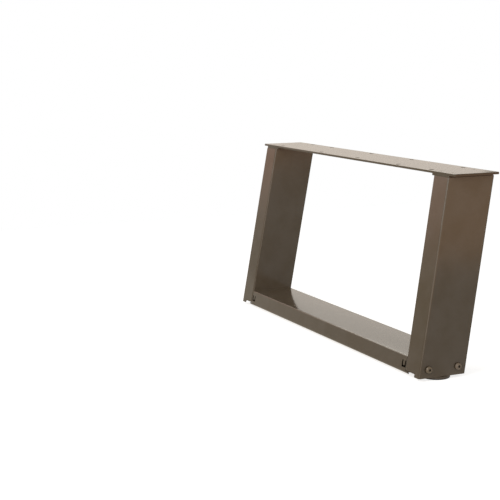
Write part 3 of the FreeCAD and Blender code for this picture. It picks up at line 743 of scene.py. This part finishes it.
        # the camera's side of the room is dimmer, most of all low down before the near leg
        low_near = self.lay_over(tree, (0.46, 0.43, 0.38), (0.20, 0.19, 0.14), [(y, -0.42, -0.55)])
        near = self.lay_over(tree, low_near, (0.92, 0.56, 0.46), [(z, 0.0, 0.06)])
        pale = self.lay_over(tree, backdrop, near, [(y, 0.05, -0.35)])
        # a lamp high up beside the backdrop, and the paler wall below it, line the bar's front top bend
        lamp_side = (x, -0.870, -0.854)
        pale = self.lay_over(tree, pale, (2.5, 2.35, 2.1), [lamp_side, (z, 0.10, 0.18), (y, 0.10, 0.0)])
        pale = self.lay_over(tree, pale, (4.2, 4.0, 3.6), [lamp_side, (z, 0.30, 0.42), (y, -0.12, 0.02)])
        # the backdrop ends at its +Y side, which darkens the plate's far corner
        pale = self.lay_over(tree, pale, (0.42, 0.38, 0.33), [(y, 0.5775, 0.581), (z, 0.30, 0.20)])
        dim = self.lay_over(tree, pale, (0.10, 0.08, 0.06), [(x, -0.74, -0.45)])
        # towards +X the room is warm, and a bright band lies just under the horizon
        band = self.lay_over(tree, (2.0, 1.2, 0.75), (1.2, 0.70, 0.42), [(z, -0.02, -0.06)])
        warm = self.lay_over(tree, (0.45, 0.33, 0.22), band, [(z, 0.05, -0.01)])
        room = self.lay_over(tree, dim, warm, [(x, 0.1, 0.7)])
        # a tall strip softbox towards -Y shows as a thin light line along the near bends
        return self.lay_over(tree, room, (1.6, 1.45, 1.3), [(y, -0.25, -0.45), (x, 0.2, 0.4)])

    def lay_over(self, tree, under, over, limits):
        """Lays one colour over another within limits; each is linear red, green and blue or an output."""
        mixed = add_node(tree, "ShaderNodeMix", {"data_type": "RGBA"}, {"Factor": share_within(tree, limits)})
        for socket, colour in ((mixed.inputs[6], under), (mixed.inputs[7], over)):
            if isinstance(colour, tuple):
                socket.default_value = (*colour, 1.0)
            else:
                tree.links.new(colour, socket)
        return mixed.outputs[2]

    def hang_lamps(self, settings):
        """One large soft lamp in front of the frame and a weak one overhead."""
        target = Vector((0.0, 0.0, -0.2))
        lamps = [
            ("key_lamp", settings.key_power, 2.4, Vector((0.6, -2.4, 1.3))),
            ("top_lamp", settings.top_power, 2.2, Vector((-0.4, 0.3, 2.3))),
        ]
        for name, power, size, place in lamps:
            light = bpy.data.lights.new(name, "AREA")
            light.energy = power
            light.size = size
            light.color = (1.0, 0.985, 0.965)
            lamp = bpy.data.objects.new(name, light)
            lamp.visible_camera = False
            lamp.location = place
            lamp.rotation_euler = (target - place).to_track_quat("-Z", "Y").to_euler()
            bpy.context.collection.objects.link(lamp)

    def place_camera(self, scene, settings):
        """The photograph's view: place, turns and lens from its vanishing lines."""
        data = bpy.data.cameras.new("photo_camera")
        data.sensor_width = 36.0
        data.lens = settings.lens
        data.clip_end = 50.0
        camera = bpy.data.objects.new("photo_camera", data)
        bpy.context.collection.objects.link(camera)
        turned = (
            Matrix.Rotation(settings.camera_yaw, 3, "Z")
            @ Matrix.Rotation(math.pi / 2 - settings.camera_pitch, 3, "X")
            @ Matrix.Rotation(-settings.camera_roll, 3, "Z")
        )
        camera.location = settings.camera_place
        camera.rotation_euler = turned.to_euler()
        scene.camera = camera


class TABLELEG_PT_panel(bpy.types.Panel):
    """Lists the steps that finish the table leg."""

    bl_label = "Table Leg"
    bl_idname = "TABLELEG_PT_panel"
    bl_space_type = "VIEW_3D"
    bl_region_type = "UI"
    bl_category = "Table Leg"

    def draw(self, context):
        scene = context.scene
        for step in STEPS:
            self.layout.operator(step.bl_idname)
        for group in (scene.tableleg_coat, scene.tableleg_stud, scene.tableleg_studio):
            box = self.layout.box()
            for name in type(group).__annotations__:
                box.prop(group, name)


STEPS = (
    TABLELEG_OT_coat_frame,
    TABLELEG_OT_finish_fasteners,
    TABLELEG_OT_mould_pads,
    TABLELEG_OT_thread_studs,
    TABLELEG_OT_set_studio,
)
CLASSES = (CoatSettings, StudSettings, StudioSettings, *STEPS, TABLELEG_PT_panel)


def register():
    for item in CLASSES:
        bpy.utils.register_class(item)
    bpy.types.Scene.tableleg_coat = PointerProperty(type=CoatSettings)
    bpy.types.Scene.tableleg_stud = PointerProperty(type=StudSettings)
    bpy.types.Scene.tableleg_studio = PointerProperty(type=StudioSettings)


def unregister():
    del bpy.types.Scene.tableleg_studio
    del bpy.types.Scene.tableleg_stud
    del bpy.types.Scene.tableleg_coat
    for item in reversed(CLASSES):
        bpy.utils.unregister_class(item)


def main():
    """Runs every step."""
    register()
    bpy.ops.tableleg.coat_frame()
    bpy.ops.tableleg.finish_fasteners()
    bpy.ops.tableleg.mould_pads()
    bpy.ops.tableleg.thread_studs()
    bpy.ops.tableleg.set_studio()


if __name__ == "__main__":
    main()
